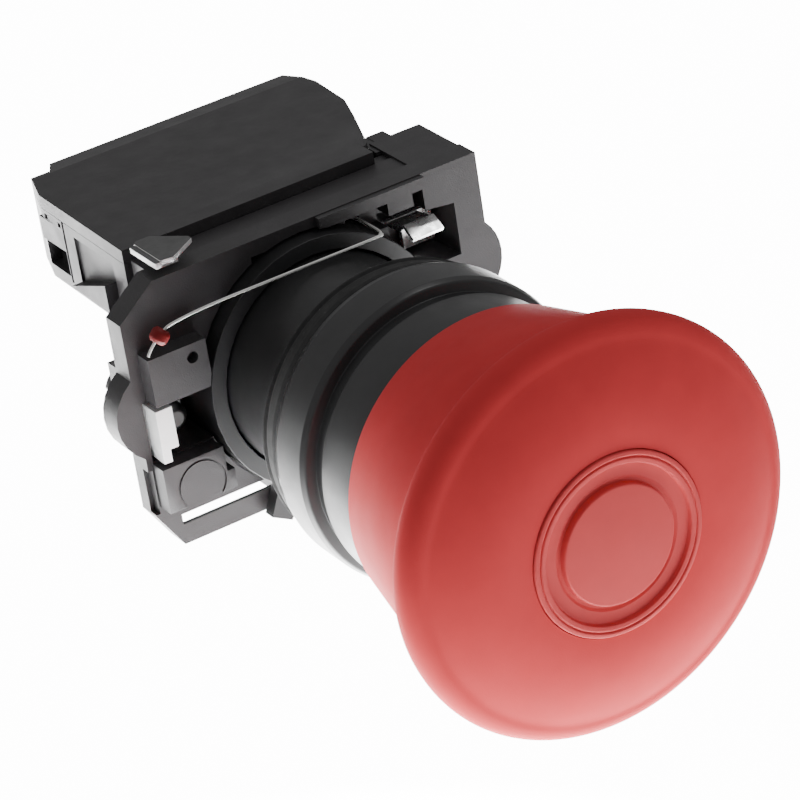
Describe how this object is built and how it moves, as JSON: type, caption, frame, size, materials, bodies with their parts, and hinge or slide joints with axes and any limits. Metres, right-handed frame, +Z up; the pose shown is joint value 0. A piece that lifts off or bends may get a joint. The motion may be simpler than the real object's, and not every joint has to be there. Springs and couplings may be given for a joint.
{
  "type": "emergency stop button",
  "caption": "Red push-pull mushroom emergency stop head for a 22 mm panel hole, with black bezel, fixing collar and a screw-terminal contact block.",
  "frame": {"origin": "on the button's axis, in the plane of the panel's front face (the rear face of the gasket)", "axes": "+Y rearward along the button's axis (the button faces -Y and is pushed towards +Y), +X to the operator's right along the collar's long side, +Z up"},
  "size_m": [0.0436, 0.0809, 0.04],
  "materials": {
    "black_plastic": "fine satin moulded glass-filled nylon",
    "red_plastic": "fine matt moulded",
    "white_plastic": "smooth moulded acetal",
    "rubber": "matt nitrile rubber",
    "zinc_steel": "bright zinc plated",
    "spring_steel": "drawn spring steel",
    "brass": "rolled brass strip"
  },
  "bodies": {
    "head": {"bezel_ring": "black_plastic", "panel_gasket": "rubber", "stem_seal": "rubber", "head_barrel": "black_plastic", "collar_body": "black_plastic", "lock_wire": "spring_steel", "lock_wire_bead": "red_plastic", "grip_clip": "zinc_steel", "contact_housing": "black_plastic", "contact_cover": "black_plastic", "fixed_contact_left": "brass", "fixed_contact_right": "brass"},
    "button": {"mushroom_cap": "red_plastic", "face_insert": "red_plastic", "stem": "white_plastic", "cap_screw": "zinc_steel", "pusher_plate": "white_plastic", "stem_circlip": "spring_steel", "return_spring": "spring_steel"},
    "plunger": {"contact_plunger": "white_plastic", "moving_bridge": "brass", "bridge_spring": "spring_steel"},
    "latch_left": {"detent_latch_left": "zinc_steel", "latch_spring_left": "spring_steel"},
    "latch_right": {"detent_latch_right": "zinc_steel", "latch_spring_right": "spring_steel"},
    "lock_ring": {"lock_ring": "black_plastic"},
    "fixing_screw": {"fixing_screw": "zinc_steel"},
    "clamp_plate": {"clamp_plate": "zinc_steel"},
    "block_latch": {"block_latch": "zinc_steel"},
    "terminal_clamp_left": {"terminal_clamp_left": "zinc_steel"},
    "terminal_clamp_right": {"terminal_clamp_right": "zinc_steel"},
    "terminal_screw_left": {"terminal_screw_left": "zinc_steel"},
    "terminal_screw_right": {"terminal_screw_right": "zinc_steel"}
  },
  "joints": [
    {"name": "button_push", "type": "slide", "parent": "head", "child": "button", "axis": [0, 1, 0], "range_m": [0, 0.0055], "deforming": ["return_spring"]},
    {"name": "plunger_push", "type": "slide", "parent": "head", "child": "plunger", "axis": [0, 1, 0], "range_m": [0, 0.0055], "deforming": ["bridge_spring"]},
    {"name": "detent_left", "type": "slide", "parent": "head", "child": "latch_left", "axis": [-1, 0, 0], "range_m": [0, 0.00056], "deforming": ["latch_spring_left"]},
    {"name": "detent_right", "type": "slide", "parent": "head", "child": "latch_right", "axis": [1, 0, 0], "range_m": [0, 0.00056], "deforming": ["latch_spring_right"]},
    {"name": "lock_turn", "type": "hinge", "parent": "head", "child": "lock_ring", "pos_m": [0, 0.015, 0], "axis": [0, -1, 0], "range_deg": [0, 20]},
    {"name": "fixing_screw_turn", "type": "hinge", "parent": "head", "child": "fixing_screw", "pos_m": [-0.016, 0.018, -0.0006], "axis": [0, -1, 0], "range_deg": [0, 1806]},
    {"name": "clamp_draw", "type": "slide", "parent": "head", "child": "clamp_plate", "axis": [0, -1, 0], "range_m": [0, 0.0035]},
    {"name": "block_latch_lift", "type": "hinge", "parent": "head", "child": "block_latch", "pos_m": [-0.0136, 0.0187, 0.01555], "axis": [-1, 0, 0], "range_deg": [0, 15]},
    {"name": "clamp_left_close", "type": "slide", "parent": "head", "child": "terminal_clamp_left", "axis": [0, -1, 0], "range_m": [0, 0.0036]},
    {"name": "terminal_left_turn", "type": "hinge", "parent": "terminal_clamp_left", "child": "terminal_screw_left", "pos_m": [-0.0106, 0.038, 0.0102], "axis": [0, -1, 0], "range_deg": [0, 2168]},
    {"name": "clamp_right_close", "type": "slide", "parent": "head", "child": "terminal_clamp_right", "axis": [0, -1, 0], "range_m": [0, 0.0036]},
    {"name": "terminal_right_turn", "type": "hinge", "parent": "terminal_clamp_right", "child": "terminal_screw_right", "pos_m": [0.0116, 0.038, 0.0102], "axis": [0, -1, 0], "range_deg": [0, 2168]}
  ],
  "couplings": [
    {"joint": "plunger_push", "follows": "button_push", "ratio": 1},
    {"joint": "detent_left", "follows": "button_push", "ratio": 0.1},
    {"joint": "detent_right", "follows": "button_push", "ratio": 0.1},
    {"joint": "fixing_screw_turn", "follows": "clamp_draw", "rad_per_m": 8976},
    {"joint": "terminal_left_turn", "follows": "clamp_left_close", "rad_per_m": 10472},
    {"joint": "terminal_right_turn", "follows": "clamp_right_close", "rad_per_m": 10472}
  ]
}
